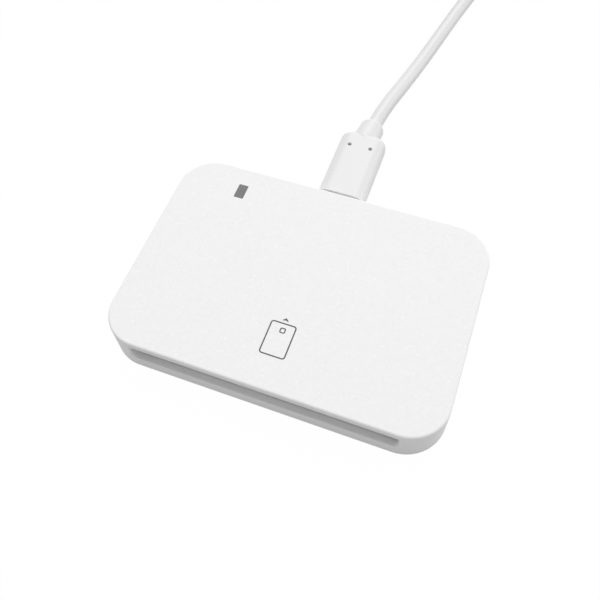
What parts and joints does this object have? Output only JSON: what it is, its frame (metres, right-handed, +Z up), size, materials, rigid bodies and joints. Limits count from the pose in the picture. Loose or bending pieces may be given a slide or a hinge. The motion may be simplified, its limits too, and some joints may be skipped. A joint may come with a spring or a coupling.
{
  "type": "smart card reader",
  "caption": "Slim white desktop smart card reader with a wide front card slot, an indicator window and a plug-in data cable that ends in a host plug.",
  "frame": {"origin": "under the middle of the case, on the surface that the feet stand on", "axes": "+X to the right seen from the card slot, +Y from the card slot to the port in the rear wall, +Z up"},
  "size_m": [0.0838, 0.2049, 0.0096],
  "materials": {
    "case_plastic": "fine spark-eroded texture, white",
    "base_plastic": "fine texture, white",
    "window_plastic": "smoky translucent grey, flush",
    "foot_rubber": "matt grey",
    "board_laminate": "green solder mask",
    "plated_steel": "nickel plated",
    "contact_metal": "gold plated spring bronze",
    "black_plastic": "moulded, black",
    "chip_epoxy": "matt moulding compound",
    "ceramic": "fired ceramic, tan",
    "diode_resin": "clear resin",
    "plug_plastic": "soft white moulding",
    "cord_jacket": "extruded white jacket",
    "tie_strap": "woven hook and loop strap, white",
    "host_tongue_plastic": "moulded, white"
  },
  "bodies": {
    "reader": {"board_screws": "plated_steel", "bottom_cover": "base_plastic", "card_contact_block": "black_plastic", "card_switch_base": "black_plastic", "card_switch_blade": "contact_metal", "chip_capacitors": "ceramic", "circuit_board": "board_laminate", "contact_spring_1": "contact_metal", "contact_spring_2": "contact_metal", "contact_spring_3": "contact_metal", "contact_spring_4": "contact_metal", "contact_spring_5": "contact_metal", "contact_spring_6": "contact_metal", "contact_spring_7": "contact_metal", "contact_spring_8": "contact_metal", "controller_chip": "chip_epoxy", "crystal_can": "plated_steel", "foot_front_left": "foot_rubber", "foot_front_right": "foot_rubber", "foot_rear_left": "foot_rubber", "foot_rear_right": "foot_rubber", "indicator_led": "diode_resin", "led_window": "window_plastic", "top_cover": "case_plastic", "usb_receptacle_shell": "plated_steel", "usb_receptacle_tongue": "black_plastic", "voltage_regulator": "chip_epoxy"},
    "cable": {"plug_overmould": "plug_plastic", "plug_shell": "plated_steel", "plug_insert": "black_plastic", "cable_cord": "cord_jacket", "cable_coil": "cord_jacket", "cable_tail": "cord_jacket", "coil_tie": "tie_strap", "host_plug_overmould": "plug_plastic", "host_plug_shell": "plated_steel", "host_plug_tongue": "host_tongue_plastic"}
  },
  "joints": [
    {"name": "cable_unplug", "type": "slide", "parent": "reader", "child": "cable", "axis": [0, 1, 0], "range_m": [0, 0.01]}
  ]
}
